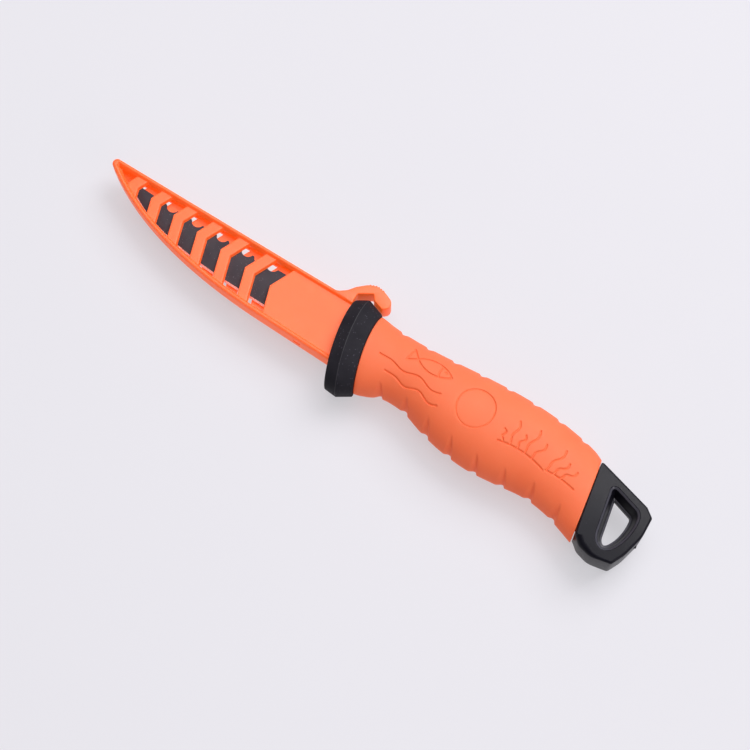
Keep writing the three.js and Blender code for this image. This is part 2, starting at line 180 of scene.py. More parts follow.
def rounded(corners, step=0.4):
    """A closed outline through (x, y, radius) corners, each rounded with an arc."""
    points = []
    count = len(corners)
    for k, (x, y, radius) in enumerate(corners):
        here = np.array([x, y], float)
        back = np.array(corners[k - 1][:2], float) - here
        ahead = np.array(corners[(k + 1) % count][:2], float) - here
        back /= np.linalg.norm(back)
        ahead /= np.linalg.norm(ahead)
        opening = math.acos(np.clip(back @ ahead, -1, 1))
        turn = math.pi - opening
        if radius == 0 or turn < 0.01:
            points.append(here)
            continue
        bisector = (back + ahead) / np.linalg.norm(back + ahead)
        centre = here + bisector * radius / math.sin(opening / 2)
        first = here + back * radius / math.tan(opening / 2) - centre
        sign = np.sign(back[1] * ahead[0] - back[0] * ahead[1])
        for a in np.linspace(0, turn, max(3, int(turn * radius / step) + 2)):
            c, s = math.cos(a), sign * math.sin(a)
            points.append(centre + [c * first[0] - s * first[1], s * first[0] + c * first[1]])
    return np.array(points)


def path(start, *legs):
    """A closed outline of lines to (x, y) and quadratic curves through (control x, control y, x, y)."""
    points = [np.array([start], float)]
    for leg in legs:
        here = points[-1][-1]
        end = np.array(leg[-2:], float)
        bend = np.array(leg[:2], float) if len(leg) == 4 else (here + end) / 2
        t = np.linspace(0, 1, 14)[1:, None]
        points.append((1 - t) ** 2 * here + 2 * t * (1 - t) * bend + t * t * end)
    return np.concatenate(points)


def resampled(outline, step):
    """The same closed outline with points added so that none is further than step from the next."""
    points = []
    for a, b in zip(outline, np.roll(outline, -1, axis=0)):
        parts = max(1, int(np.linalg.norm(b - a) / step))
        points.extend(a + (b - a) * k / parts for k in range(parts))
    return np.array(points)


def inset(outline, distance):
    """A closed outline moved inwards. It runs counterclockwise, and distance may differ along it."""
    ahead = np.roll(outline, -1, axis=0) - outline
    ahead /= np.linalg.norm(ahead, axis=1, keepdims=True)
    normal = np.stack([-ahead[:, 1], ahead[:, 0]], axis=1)
    both = normal + np.roll(normal, 1, axis=0)
    length = np.linalg.norm(both, axis=1, keepdims=True)
    miter = both / length / np.clip(length / 2, 0.35, 1)
    return outline + miter * np.broadcast_to(distance, len(outline))[:, None]


def smoothstep(low, high, value):
    t = np.clip((value - low) / (high - low), 0, 1)
    return t * t * (3 - 2 * t)


def corner_drop(away, radius):
    """How far a rounded corner has fallen off at a distance from the end."""
    return radius - np.sqrt(np.maximum(radius ** 2 - np.clip(radius - away, 0, radius) ** 2, 0))


def spread(value, squareness):
    """Bends the unit circle's coordinate into that of a superellipse."""
    return np.sign(value) * np.abs(value) ** (2 / squareness)


def crest_x(y):
    return CREST_X + CREST_SWEEP * (CREST_TOP - y) ** 2


def cap_joint_x(y):
    x, at_y, slope = CAP_JOINT
    return x + slope * (at_y - y)


def at_height(outline, z):
    """The points of a flat outline at a height z, which may differ along it."""
    return np.column_stack([outline, np.broadcast_to(z, len(outline))])


# --- meshes -------------------------------------------------------------------------------------------

class Surface:
    """Gathers the faces of one piece, in the knife's millimetres."""

    def __init__(self):
        self.points = []
        self.faces = []
        self.marks = []

    def grid(self, points, wrap=False, mark=0):
        """Quads over points[i][j]. wrap joins the last j to the first; mark picks the material."""
        rows, columns = points.shape[:2]
        first = len(self.points)
        self.points.extend(points.reshape(-1, 3))
        for i in range(rows - 1):
            for j in range(columns if wrap else columns - 1):
                a = first + i * columns + j
                b = first + i * columns + (j + 1) % columns
                self.faces.append((a, b, b + columns, a + columns))
                self.marks.append(mark)

    def patch(self, points, faces):
        """Faces that are given by the numbers of their points."""
        first = len(self.points)
        self.points.extend(points)
        self.faces.extend(tuple(first + corner for corner in face) for face in faces)
        self.marks.extend([0] * len(faces))

    def cap(self, ring):
        """Closes a ring with one flat face."""
        first = len(self.points)
        self.points.extend(ring)
        self.faces.append(tuple(range(first, first + len(ring))))
        self.marks.append(0)

    def lens(self, ring):
        """Closes a ring with a sheet between it and its own shadow on the middle plane."""
        self.grid(np.stack([ring, ring * [1, 1, 0]]), wrap=True)


def make(surface, name, materials, body, stands_for, crease=32):
    """Turns a surface into a piece that rides on a body named by a string; any other body is not read, and
    the piece stays fixed where it lies.
    """
    mesh = bpy.data.meshes.new(name)
    points = (np.array(surface.points) + KNIFE_ORIGIN) / 1000
    mesh.from_pydata(points.tolist(), [], surface.faces)
    mesh.polygons.foreach_set("material_index", surface.marks)
    work = bmesh.new()
    work.from_mesh(mesh)
    bmesh.ops.remove_doubles(work, verts=work.verts, dist=2e-6)
    bmesh.ops.dissolve_degenerate(work, edges=work.edges, dist=1e-6)
    bmesh.ops.recalc_face_normals(work, faces=work.faces)
    work.to_mesh(mesh)
    work.free()
    mesh.shade_smooth()
    mesh.set_sharp_from_angle(angle=math.radians(crease))
    piece = bpy.data.objects.new(name, mesh)
    bpy.context.scene.collection.objects.link(piece)
    for material in materials:
        mesh.materials.append(material)
    if isinstance(body, str):
        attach(piece, body)
    else:
        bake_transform(piece)
    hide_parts(*stands_for)


# --- materials ----------------------------------------------------------------------------------------

class Nodes:
    """A material with a principled shader and short ways to add nodes to it."""

    def __init__(self, name, **sockets):
        self.material = bpy.data.materials.new(name)
        self.material.use_nodes = True
        self.tree = self.material.node_tree
        self.shader = self.tree.nodes["Principled BSDF"]
        for socket, value in sockets.items():
            self.shader.inputs[socket.replace("_", " ")].default_value = value
        self.place = self.add("ShaderNodeTexCoord").outputs["Object"]

    def add(self, kind, inputs=(), **settings):
        node = self.tree.nodes.new(kind)
        for key, value in settings.items():
            setattr(node, key, value)
        for key, value in dict(inputs).items():
            if isinstance(value, bpy.types.NodeSocket):
                self.tree.links.new(value, node.inputs[key])
            else:
                node.inputs[key].default_value = value
        return node

    def noise(self, scale, detail=3, roughness=0.5):
        inputs = {"Vector": self.place, "Scale": scale, "Detail": detail, "Roughness": roughness}
        return self.add("ShaderNodeTexNoise", inputs).outputs["Fac"]

    def ramp(self, fac, stops):
        """A colour that changes with fac through (position, colour) stops."""
        node = self.add("ShaderNodeValToRGB", {"Fac": fac})
        elements = node.color_ramp.elements
        while len(elements) < len(stops):
            elements.new(0.5)
        for element, (position, colour) in zip(elements, stops):
            element.position = position
            element.color = (*colour, 1)
        return node.outputs["Color"]

    def between(self, fac, low, high):
        node = self.add("ShaderNodeMapRange", {"Value": fac, "To Min": low, "To Max": high})
        return node.outputs["Result"]

    def colour(self, socket):
        self.tree.links.new(socket, self.shader.inputs["Base Color"])

    def rough(self, socket):
        self.tree.links.new(socket, self.shader.inputs["Roughness"])

    def bumps(self, *layers):
        """Stacks (height, distance in metres) layers of bumps."""
        normal = None
        for height, distance in layers:
            inputs = {"Height": height, "Strength": 1.0, "Distance": distance}
            if normal is not None:
                inputs["Normal"] = normal
            normal = self.add("ShaderNodeBump", inputs).outputs["Normal"]
        self.tree.links.new(normal, self.shader.inputs["Normal"])


def hard_orange():
    """Satin moulded plastic with faint flow marks and a fine grain, and a painted red glow: emission that
    stands in for light passing through the plastic, lifting its shaded recesses and the shadow beside it.
    """
    nodes = Nodes("hard_orange", Specular_IOR_Level=0.5, Subsurface_Weight=0.3, Subsurface_Scale=0.003,
                  Subsurface_Radius=(1.0, 0.25, 0.1), Emission_Color=(1.0, 0.13, 0.005, 1),
                  Emission_Strength=0.38)
    flow = nodes.noise(55, 4)
    grain = nodes.noise(5200, 2)
    nodes.colour(nodes.ramp(flow, [(0.3, (0.8, 0.118, 0.033)), (0.7, (0.83, 0.132, 0.041))]))
    nodes.rough(nodes.between(nodes.noise(420), 0.4, 0.54))
    nodes.bumps((grain, 0.000012), (flow, 0.00006))
    return nodes.material


def soft_orange():
    """Soft-touch rubber with a fine matte texture and the same kind of painted red glow, emission that stands
    in for light passing through the rubber and tints the shadow beside it.
    """
    nodes = Nodes("soft_orange", Specular_IOR_Level=0.5, Subsurface_Weight=0.1, Subsurface_Scale=0.0015,
                  Subsurface_Radius=(1.0, 0.15, 0.05), Emission_Color=(1.0, 0.09, 0.01, 1),
                  Emission_Strength=0.26)
    cloud = nodes.noise(70, 4)
    grain = nodes.noise(3600, 3, 0.7)
    nodes.colour(nodes.ramp(cloud, [(0.3, (0.62, 0.132, 0.05)), (0.7, (0.65, 0.148, 0.058))]))
    nodes.rough(nodes.between(nodes.noise(900), 0.6, 0.74))
    nodes.bumps((grain, 0.00002))
    return nodes.material


SPECK_SHARE = 0.13  # the share of the cells that hold a speck
SPECK_GAIN = 4.5  # how much brighter a speck is than the surface


def speckled(name, dark, light, speck_scale, speck_size, grain, rough, **sockets):
    """A dark surface with a fine grain and scattered pale specks of dust.

    grain is (scale, detail, distance in metres) and rough is the lowest and the highest roughness.
    """
    nodes = Nodes(name, **sockets)
    cells = nodes.add("ShaderNodeTexVoronoi", {"Vector": nodes.place, "Scale": speck_scale})
    speck = nodes.add("ShaderNodeMath", {0: cells.outputs["Distance"], 1: speck_size}, operation="LESS_THAN")
    rare = nodes.add("ShaderNodeSeparateColor", {"Color": cells.outputs["Color"]})
    chosen = nodes.add("ShaderNodeMath", {0: rare.outputs["Red"], 1: SPECK_SHARE}, operation="LESS_THAN")
    both = nodes.add("ShaderNodeMath", {0: speck.outputs[0], 1: chosen.outputs[0]}, operation="MULTIPLY")
    tone = nodes.ramp(nodes.noise(160, 5), [(0.3, dark), (0.7, light)])
    pale = (*(SPECK_GAIN * value for value in light), 1)
    mix = nodes.add("ShaderNodeMix", {"Factor": both.outputs[0], "A": tone, "B": pale}, data_type="RGBA")
    nodes.colour(mix.outputs["Result"])
    nodes.rough(nodes.between(nodes.noise(700), *rough))
    nodes.bumps((nodes.noise(*grain[:2]), grain[2]))
    return nodes.material


def guard_rubber():
    return speckled("guard_rubber", (0.013, 0.0118, 0.0165), (0.019, 0.0175, 0.023), 1700, 0.24,
                    (2600, 3, 0.00003), (0.66, 0.82), Specular_IOR_Level=0.15)


def guard_crest_highlight():
    """The same rubber, painted paler along the crest as a highlight where the rounded crest catches the
    light.
    """
    return speckled("guard_crest_highlight", (0.036, 0.034, 0.04), (0.052, 0.05, 0.057), 1700, 0.24,
                    (2600, 3, 0.00003), (0.5, 0.65), Specular_IOR_Level=0.35)


def cap_plastic():
    return speckled("cap_plastic", (0.0055, 0.0052, 0.009), (0.0078, 0.0074, 0.012), 700, 0.09,
                    (3000, 2, 0.000012), (0.28, 0.4), Specular_IOR_Level=0.13)


def cap_bevel_highlight():
    """The same plastic, painted much paler as a highlight on the bevel round the hole, and more reflective.
    """
    return speckled("cap_bevel_highlight", (0.05, 0.048, 0.062), (0.07, 0.068, 0.085), 700, 0.09,
                    (3000, 2, 0.000012), (0.28, 0.4), Specular_IOR_Level=0.5)


def coated_steel():
    return speckled("coated_steel", (0.036, 0.028, 0.036), (0.05, 0.041, 0.05), 2400, 0.2,
                    (5200, 2, 0.00001), (0.45, 0.6), Specular_IOR_Level=0.2)


def ground_steel():
    """Bright steel with grinding lines along the edge."""
    nodes = Nodes("ground_steel", Metallic=0.7)
    stretch = nodes.add("ShaderNodeMapping", {"Vector": nodes.place, "Scale": (9000, 400, 400)})
    lines = nodes.add("ShaderNodeTexNoise", {"Vector": stretch.outputs[0], "Scale": 1.0}).outputs["Fac"]
    nodes.colour(nodes.ramp(lines, [(0.3, (0.7, 0.69, 0.7)), (0.7, (0.86, 0.85, 0.86))]))
    nodes.rough(nodes.between(lines, 0.2, 0.36))
    nodes.bumps((lines, 0.000006))
    return nodes.material


def hidden_core():
    """Glass-filled plastic of the core, which shows only where the pieces are taken apart."""
    return speckled("hidden_core", (0.03, 0.03, 0.034), (0.04, 0.04, 0.045), 1800, 0.2,
                    (2200, 3, 0.00003), (0.45, 0.6))


def table_top():
    """Matte pale card, which gives off a little light of its own and so keeps the shadows soft."""
    nodes = Nodes("table_top", Specular_IOR_Level=0.2, Emission_Color=(0.93, 0.92, 0.96, 1),
                  Emission_Strength=0.54)
    nodes.colour(nodes.ramp(nodes.noise(3, 4), [(0.3, (0.257, 0.251, 0.272)), (0.7, (0.265, 0.259, 0.28))]))
    nodes.rough(nodes.between(nodes.noise(40), 0.75, 0.9))
    nodes.bumps((nodes.noise(1500, 2), 0.00001))
    return nodes.material


# --- blade --------------------------------------------------------------------------------------------

def blade_columns():
    """Points along the spine from heel to tip, with the scaler's round scallops."""
    radius = (SCALLOP_HALF ** 2 + SCALLOP_DEPTH ** 2) / (2 * SCALLOP_DEPTH)
    points = [straight((HEEL[0], SPINE_Y), (SCALLOP_START, SPINE_Y), 30)]
    reach = math.asin(SCALLOP_HALF / radius)
    for i in range(SCALLOPS):
        x = SCALLOP_START - SCALLOP_PITCH * (i + 0.5)
        lean = np.linspace(reach, -reach, 17)
        arc = np.stack([x + radius * np.sin(lean),
                        SPINE_Y + radius - SCALLOP_DEPTH - radius * np.cos(lean)], axis=1)
        arc[0, 1] = arc[-1, 1] = SPINE_Y - 0.12
        points.append(arc)
    last = SCALLOP_START - SCALLOP_PITCH * SCALLOPS
    points.append(straight((last - 0.3, SPINE_Y + 0.1), BLADE_TIP, 24))
    return np.concatenate(points)


def edge_y():
    """The cutting edge's height as a function of x."""
    belly = bezier(BLADE_TIP, (-93, -10.9), (-75, -17.2), BELLY_END, 120)
    heel = straight(BELLY_END, HEEL, 20)[1:]
    whole = np.concatenate([belly, heel])
    return lambda x: np.interp(x, whole[:, 0], whole[:, 1])


def blade():
    """The coated blade, with its flanks in columns from spine to edge and a bright ground bevel."""
    spine = blade_columns()
    x = spine[:, 0]
    top = spine[:, 1]
    bottom = np.minimum(edge_y()(x), top - 0.01)
    grind = np.minimum(GRIND_WIDTH, (top - bottom) / 4)
    start = top - LIP_DEPTH
    rows = [(start, BLADE_HALF)]
    for share in (0.05, 0.12, FLAT_SHARE, 0.62, 0.8):
        half = BLADE_HALF - THINNING * max(share - FLAT_SHARE, 0) / (1 - FLAT_SHARE)
        rows.append((start + (bottom + grind - start) * share, half))
    rows.append((bottom + grind, GRIND_HALF))
    surface = Surface()
    flank = np.stack([np.stack([x, y, np.full_like(x, half)], axis=1) for y, half in rows])
    lip = np.stack([x, top, np.full_like(x, BLADE_HALF - LIP_WIDTH)], axis=1)
    edge = np.stack([x, bottom, np.full_like(x, EDGE_HALF)], axis=1)
    for side in (1, -1):
        mirror = [1, 1, side]
        surface.grid(np.concatenate([lip[None], flank]) * mirror)
        surface.grid(np.stack([flank[-1], edge]) * mirror, mark=1)
    surface.grid(np.stack([lip, lip * [1, 1, -1]]))
    surface.grid(np.stack([edge, edge * [1, 1, -1]]), mark=1)
    make(surface, "blade_steel", [coated_steel(), ground_steel()], "knife", ["blade"], 25)


# --- handle -------------------------------------------------------------------------------------------

grip_top = line_through([
    (8, 1.9), (15, 1.6), (20, 0.9), (27, 0.4), (38, 0.5), (50, 1.3), (62, 2.3),
    (76, 2.9), (90, 2.4), (102, 0.7), (110, -1.2), (114, -3), (124, -8)])
grip_bottom = line_through([
    (8, -29.5), (20, -29.8), (25, -28.2), (29.5, -26.1), (35, -25.6), (41, -26.3), (50, -29.3),
    (60, -31.6), (72, -32.7), (84, -31.8), (96, -30.6), (106, -31.8), (114, -34.3), (124, -38)])
grip_half = line_through([
    (8, 10.6), (20, 10.4), (33, 10.6), (50, 11.9), (70, 12.5), (85, 12.2), (105, 10.8), (124, 9.8)])

# Where each finger groove starts on the faces of the grip.
GROOVE_TIPS = [(27.6, -22.3), (39.2, -22), (50.2, -24.4), (61.4, -26), (73.1, -27), (84.9, -26.2),
               (96.8, -24.8), (109.3, -26.5)]
END_ROUND = 0.4


def scoop(away, before, after):
    """A groove's section: it falls over before to a narrow floor and rises over after."""
    rest = np.clip(np.abs(away) / np.where(away < 0, before, after), 0, 1)
    return 1 - smoothstep(0.08, 1, rest)


def groove_depth(x, y, side):
    """How deep grooves and notches cut in; side runs from -1 at the edge side to 1 at the spine."""
    depth = np.zeros_like(x)
    for i, (tip_x, tip_y) in enumerate(GROOVE_TIPS):
        foot_x = GROOVE_START + GROOVE_PITCH * i
        foot_y = grip_bottom(np.array([foot_x]))[0]
        along = np.clip((tip_y - y) / (tip_y - foot_y), 0, 1)
        centre = tip_x + (foot_x - tip_x) * along
        width = 0.25 + 0.75 * along
        fall = scoop(x - centre, 3.0 * width, 1.3 * width)
        full = np.where(side < 0, GROOVE_DEPTH * smoothstep(0, 0.75, along) ** 0.7, 0)
        depth = np.maximum(depth, full * fall)
    for i in range(NOTCHES):
        notch = scoop(x - NOTCH_START - GROOVE_PITCH * i, 1.3, 2.6)
        depth = np.maximum(depth, NOTCH_DEPTH * notch * smoothstep(0.7, 0.97, side))
    return depth


def away_from(x, y, line, reach):
    """The distance of each point from a line, as far as reach."""
    found = np.full_like(x, 1e9)
    low = line.min(axis=0) - reach
    high = line.max(axis=0) + reach
    near = (x > low[0]) & (x < high[0]) & (y > low[1]) & (y < high[1])
    px, py = x[near], y[near]
    best = np.full_like(px, 1e9)
    for (ax, ay), (bx, by) in zip(line[:-1], line[1:]):
        dx, dy = bx - ax, by - ay
        t = np.clip(((px - ax) * dx + (py - ay) * dy) / (dx * dx + dy * dy), 0, 1)
        best = np.minimum(best, np.hypot(px - ax - t * dx, py - ay - t * dy))
    found[near] = best
    return found


def wave(x0, y0, x1, y1, height, turns, count=40):
    """A wavy line from one point to another."""
    t = np.linspace(0, 1, count)
    swing = height * np.sin(2 * math.pi * turns * t) * np.sin(math.pi * np.clip(1.6 * t, 0, 1) / 2)
    length = math.hypot(x1 - x0, y1 - y0)
    nx, ny = -(y1 - y0) / length, (x1 - x0) / length
    return np.stack([x0 + (x1 - x0) * t + nx * swing, y0 + (y1 - y0) * t + ny * swing], axis=1)


def arc(x, y, radius, start, end, flat=1.0, count=30):
    """Points on an arc between two angles in degrees, squashed along y by flat."""
    a = np.radians(np.linspace(start, end, count))
    return np.stack([x + radius * np.cos(a), y + flat * radius * np.sin(a)], axis=1)


def carvings():
    """Plain water and weed motifs: a small fish over two ripples in front of the disc, reeds behind it."""
    lines = [
        arc(43, -15.4, 10.8, 47, 133, 0.95), arc(43, -0.4, 10.8, -133, -47, 0.95),
        straight((35.7, -7.9), (32.6, -4.8), 6), straight((35.7, -7.9), (31.8, -10.2), 6),
        straight((32.6, -4.8), (31.8, -10.2), 6), arc(47.6, -7.2, 0.4, 0, 360, 1, 12),
        arc(49.4, -7.9, 4.2, 152, 208, 1.0, 12),
        wave(22, -13.6, 50, -15.6, 0.9, 2), wave(27, -18.2, 51, -20.2, 0.9, 2),
        arc(86, -54.7, 36, 72, 104), arc(102, -55.8, 36, 76, 96),
    ]
    reeds = [
        (79, -18.6, 77.4, -14.6), (82, -18.3, 81, -9), (85.2, -18.2, 85.6, -12.6),
        (88.4, -18.5, 89.4, -8), (91.6, -19.1, 94, -11.5), (98.6, -19.6, 101.4, -9.4),
        (101.6, -19.5, 105, -13.2), (104.6, -19.6, 109, -14.6)]
    lines += [wave(*reed, 0.8, 1.0) for reed in reeds]
    return lines


def grip_shape(u, angle):
    """Points of the grip for shares along it and angles around it."""
    side = np.cos(angle)
    y = np.full_like(u, -15.0)
    for _ in range(6):  # both ends are swept, so x and y are found together in a few rounds
        front = crest_x(y) + GUARD_REAR + JOINT_GAP
        rear = cap_joint_x(y) - JOINT_GAP
        x = front + (rear - front) * u
        middle = (grip_top(x) + grip_bottom(x)) / 2
        reach = (grip_top(x) - grip_bottom(x)) / 2
        y = middle + reach * side
    turned = corner_drop(np.minimum(x - front, rear - x), END_ROUND)
    cut = groove_depth(x, y, side)
    y = middle + (reach - cut - turned) * side
    z = (grip_half(x) - turned - FACE_CUT * cut) * np.sin(angle)
    return x, y, z


def carved_away(x, y):
    """The distance of each point of the face from the nearest carved line."""
    return np.min([away_from(x, y, line, CARVING_REACH) for line in carvings()], axis=0)


def disc_share(x, y):
    """0 at the middle of the sunk disc and 1 on its edge."""
    middle_x, middle_y, half_x, half_y = DISC
    return np.hypot((x - middle_x) / half_x, (y - middle_y) / half_y)


def face_relief(x, y):
    """The sunk disc and the carved lines on the faces of the grip."""
    disc = disc_share(x, y)
    ring = smoothstep(0.05, 0.01, np.abs(disc - 0.965))
    sunk = DISC_DEPTH * smoothstep(1.0, 0.96, disc) + RING_DEPTH * ring
    return np.maximum(sunk, CARVING_DEPTH * smoothstep(0.46, 0.1, carved_away(x, y)))


def grip_grid(rows, columns):
    """A net over share along the grip and angle round it, twice as fine near the carvings and the disc."""
    end_shares = np.array([0, 0.001, 0.002, 0.0035])
    shares = np.concatenate([end_shares, np.linspace(0.006, 0.994, rows), 1 - end_shares[::-1]])
    t = np.linspace(0, 2 * math.pi, columns + 1)
    angles = t + 0.16 * np.sin(2 * t)
    net = bmesh.new()
    knots = [[net.verts.new((share, angle, 0)) for angle in angles] for share in shares]
    for near, far in zip(knots[:-1], knots[1:]):
        for j in range(columns):
            net.faces.new((near[j], near[j + 1], far[j + 1], far[j]))
    centres = np.array([face.calc_center_median()[:] for face in net.faces])
    x, y, z = grip_shape(centres[:, 0], centres[:, 1])
    disc_away = 7 * np.abs(disc_share(x, y) - 0.98)  # roughly in millimetres
    fine = (np.minimum(carved_away(x, y), disc_away) < FINE_REACH) & (np.abs(z) > 5)
    edges = {edge for face, chosen in zip(net.faces, fine) if chosen for edge in face.edges}
    bmesh.ops.subdivide_edges(net, edges=list(edges), cuts=1, use_grid_fill=True)
    net.verts.index_update()
    places = np.array([vert.co[:2] for vert in net.verts])
    faces = [tuple(vert.index for vert in face.verts) for face in net.faces]
    net.free()
    return places, faces, angles


def grip():
    """The soft sleeve, a fine net shaped with its grooves, notches and carvings."""
    places, faces, angles = grip_grid(rows=330, columns=196)
    x, y, z = grip_shape(places[:, 0], places[:, 1])
    z = z - np.sign(z) * face_relief(x, y) * smoothstep(3, 6, np.abs(z))
    surface = Surface()
    surface.patch(np.stack([x, y, z], axis=-1), faces)
    for share in (0.0, 1.0):
        surface.lens(np.stack(grip_shape(np.full(len(angles), share), angles), axis=-1))
    make(surface, "grip_rubber", [soft_orange()], "knife", ["grip_sleeve"], 60)


# Where the guard's rings near the crest lie, from the crest.
CREST_STEPS = [-0.3, -0.17, -0.08, 0, 0.08, 0.17, 0.3]


def guard():
    """A swept collar that rises to a rounded crest."""
    around = np.linspace(0, 2 * math.pi, 240, endpoint=False)
    front, rear = GUARD_FRONT, GUARD_REAR - JOINT_GAP
    offsets = np.concatenate([
        front + np.array([0, 0.03, 0.12, 0.3]), np.linspace(front + 0.6, -0.5, 12), CREST_STEPS,
        np.linspace(0.5, rear - 0.75, 16), rear - np.array([0.45, 0.23, 0.08, 0.03, 0])])
    turned = corner_drop(np.minimum(offsets - front, rear - offsets), GUARD_ROUND)
    fall = np.sqrt(offsets ** 2 + CREST_ROUND ** 2) - CREST_ROUND
    ahead = offsets < 0
    top = CREST_TOP - np.where(ahead, 0.52, 0.36) * fall - turned
    bottom = CREST_BOTTOM + np.where(ahead, 0.07, 0.5) * fall + turned
    half = CREST_HALF - np.where(ahead, 0.5, 0.23) * fall - turned
    middle = ((top + bottom) / 2)[:, None]
    y = middle + ((top - bottom) / 2)[:, None] * spread(np.cos(around), GUARD_SQUARENESS)[None]
    z = half[:, None] * spread(np.sin(around), GUARD_SQUARENESS)[None]
    points = np.stack([crest_x(y) + offsets[:, None], y, z], axis=-1)
    # The thin band along the crest gets the painted highlight material.
    highlit = np.flatnonzero(np.abs((offsets[:-1] + offsets[1:]) / 2) < CREST_HIGHLIGHT_HALF)
    first, last = highlit[0], highlit[-1] + 1
    surface = Surface()
    surface.grid(points[:first + 1], wrap=True)
    surface.grid(points[first:last + 1], wrap=True, mark=1)
    surface.grid(points[last:], wrap=True)
    surface.lens(points[0])
    surface.lens(points[-1])
    materials = [guard_rubber(), guard_crest_highlight()]
    make(surface, "guard_rubber", materials, "knife", ["guard_collar"], 40)


# --- butt cap -----------------------------------------------------------------------------------------

CAP_CENTRE = np.array([130.0, -22.0])
CAP_OUTLINE = [
    (114.3, -4.4, 0.9), (119.7, -34.2, 1.6), (123.0, -37.1, 4.5), (128.5, -38.6, 9), (136.7, -37.0, 1.5),
    (139.3, -31.5, 14), (141.5, -22.5, 14), (141.1, -14.0, 1.2), (137.5, -11.2, 1.6)]
CAP_HOLE = [
    (124.9, -11.5), (122.9, -11.1, 123.4, -13.0), (126.5, -28.9), (127.4, -32.6, 130.4, -33.2),
    (132.7, -33.2, 134.3, -30.3), (137.0, -25.3, 136.6, -18.6), (136.4, -15.6, 134.4, -14.6), (124.9, -11.5)]
# The hole's wall from the middle plane to the face, as (how far inside CAP_HOLE it lies, height).
HOLE_PROFILE = [
    (2.3, 0.0), (2.2, 1.3), (2.1, 1.4), (1.5, 1.6), (0.1, 6.8), (0.02, 7.0), (-0.08, 7.16), (-0.85, 7.86),
    (-0.97, 7.96), (-1.12, CAP_HALF), (-1.25, CAP_HALF)]
LEDGE_RING = 2  # where the ledge inside the hole starts in HOLE_PROFILE
BEVEL_RING = 6  # where the bevel round the hole starts in HOLE_PROFILE
GATE = (141.0, -25.0)  # where a small nub of the moulding gate is left
GATE_HEIGHT = 0.8
GATE_WIDTH = 0.6
SIDE_HEIGHT = 0.9  # how far the cap's side is drawn before the middle plane, where the nub is
CAP_CROWN = 0.0005
CROWN_Y = -25


def radii(outline, angles, centre):
    """Distances from centre to where each angle's ray first crosses a closed outline."""
    a = outline - centre
    b = np.roll(a, -1, axis=0)
    found = []
    for angle in angles:
        c, s = math.cos(angle), math.sin(angle)
        side_a = c * a[:, 1] - s * a[:, 0]
        side_b = c * b[:, 1] - s * b[:, 0]
        crossing = (side_a <= 0) & (side_b > 0)
        t = side_a[crossing] / (side_a[crossing] - side_b[crossing])
        hit = a[crossing] + t[:, None] * (b[crossing] - a[crossing])
        reach = hit @ [c, s]
        found.append(np.min(reach[reach > 0]))
    return np.array(found)


def angles_of(*outlines):
    """The angles of all the outlines' points round the cap's centre, without near repeats."""
    every = np.concatenate([np.arctan2(*(o - CAP_CENTRE).T[::-1]) for o in outlines])
    every = np.sort(every)
    return every[np.concatenate([[True], np.diff(every) > 0.004])]


def cap_rings():
    """Rings from the hole's middle, over the face, to the outside of the cap's middle plane."""
    outer = resampled(rounded(CAP_OUTLINE, 0.3), CAP_STEP)
    hole = resampled(path(*CAP_HOLE)[:-1], CAP_STEP)
    angles = angles_of(outer, hole)
    soft = smoothstep(-24, -35, outer[:, 1]) * smoothstep(134, 121, outer[:, 0])
    joint = smoothstep(0.9, 0.3, np.abs(outer[:, 0] - cap_joint_x(outer[:, 1]) - JOINT_GAP))
    bevel = (CAP_BEVEL + CAP_BEVEL_GAIN * soft) * (1 - joint) + CAP_JOINT_BEVEL * joint
    profile = [(inset(hole, distance), height) for distance, height in HOLE_PROFILE]
    profile.append((inset(outer, bevel * 1.1), CAP_HALF))
    for turn in np.radians(range(0, 91, 15)):
        outline = inset(outer, bevel * (1 - math.sin(turn)))
        profile.append((outline, CAP_HALF - bevel * (1 - math.cos(turn))))
    nub = GATE_HEIGHT * np.exp(-(np.hypot(*(outer - GATE).T) / GATE_WIDTH) ** 2)
    profile += [(outer, SIDE_HEIGHT), (inset(outer, -nub), 0.0)]
    rings = []
    for outline, height in profile:
        reach = radii(outline, angles, CAP_CENTRE)
        flat = CAP_CENTRE + reach[:, None] * np.stack([np.cos(angles), np.sin(angles)], axis=1)
        if isinstance(height, np.ndarray):
            away = np.hypot(*(flat[:, None] - outline[None]).transpose(2, 0, 1))
            height = height[np.argmin(away, axis=1)]
        rings.append(at_height(flat, height))
    rings = np.stack(rings)
    rings[:, :, 2] *= 1 - CAP_CROWN * (rings[:, :, 1] - CROWN_Y) ** 2
    return rings


def butt_cap():
    """The hard end cap with its lanyard hole, mirrored about the middle plane."""
    rings = cap_rings()
    whole = np.concatenate([rings, (rings * [1, 1, -1])[-2:0:-1]])
    surface = Surface()
    surface.grid(np.concatenate([whole, whole[:1]]), wrap=True)
    # The ledge inside the hole and the bevel round it get the painted highlight material.
    highlit_bands = np.isin(np.arange(len(whole)), [LEDGE_RING, BEVEL_RING, len(whole) - 1 - BEVEL_RING])
    surface.marks = np.repeat(highlit_bands, rings.shape[1]).astype(int).tolist()
    make(surface, "cap_plastic", [cap_plastic(), cap_bevel_highlight()], "knife", ["butt_cap"], 28)


# --- sheath -------------------------------------------------------------------------------------------

def mouth_x(y):
    """The sheath's swept end, which stands in front of the guard's crest."""
    return crest_x(y) + MOUTH_FRONT


def sill_y(x):
    """The rim's inner line between the windows and the mouth, on the edge side."""
    return FLOOR_END[1] - (x - FLOOR_END[0]) * HEEL_FALL / SILL_RUN


